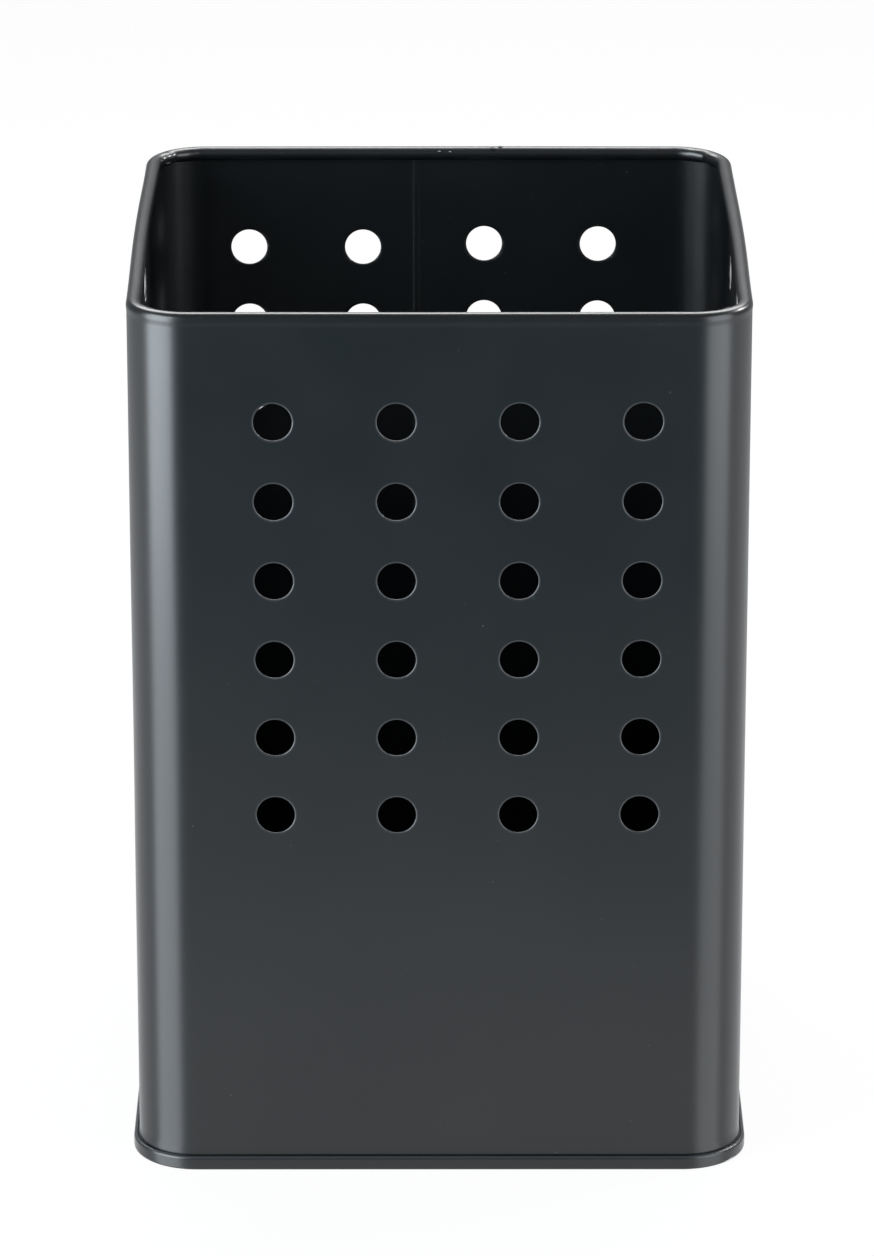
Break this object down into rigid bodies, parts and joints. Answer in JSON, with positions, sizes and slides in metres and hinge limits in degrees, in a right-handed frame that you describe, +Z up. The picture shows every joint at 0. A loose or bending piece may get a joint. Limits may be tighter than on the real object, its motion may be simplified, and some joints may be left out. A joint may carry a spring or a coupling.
{
  "type": "utensil holder",
  "caption": "Square upright utensil holder of black lacquered sheet steel: perforated walls with rounded corners, a rolled rim and a recessed base folded on in a double seam.",
  "frame": {"origin": "on the floor, under the middle of the holder", "axes": "+Z up through the open top; -Y is the front, and the welded side of the wall is on +Y; +X is to the right as seen from the front"},
  "size_m": [0.1034, 0.1034, 0.15],
  "materials": {
    "wall_lacquer": "satin black lacquer baked on tinplate",
    "pan_lacquer": "satin black lacquer baked on tinplate"
  },
  "bodies": {
    "root": {"body_wall": "wall_lacquer", "base_pan": "pan_lacquer"}
  },
  "joints": []
}
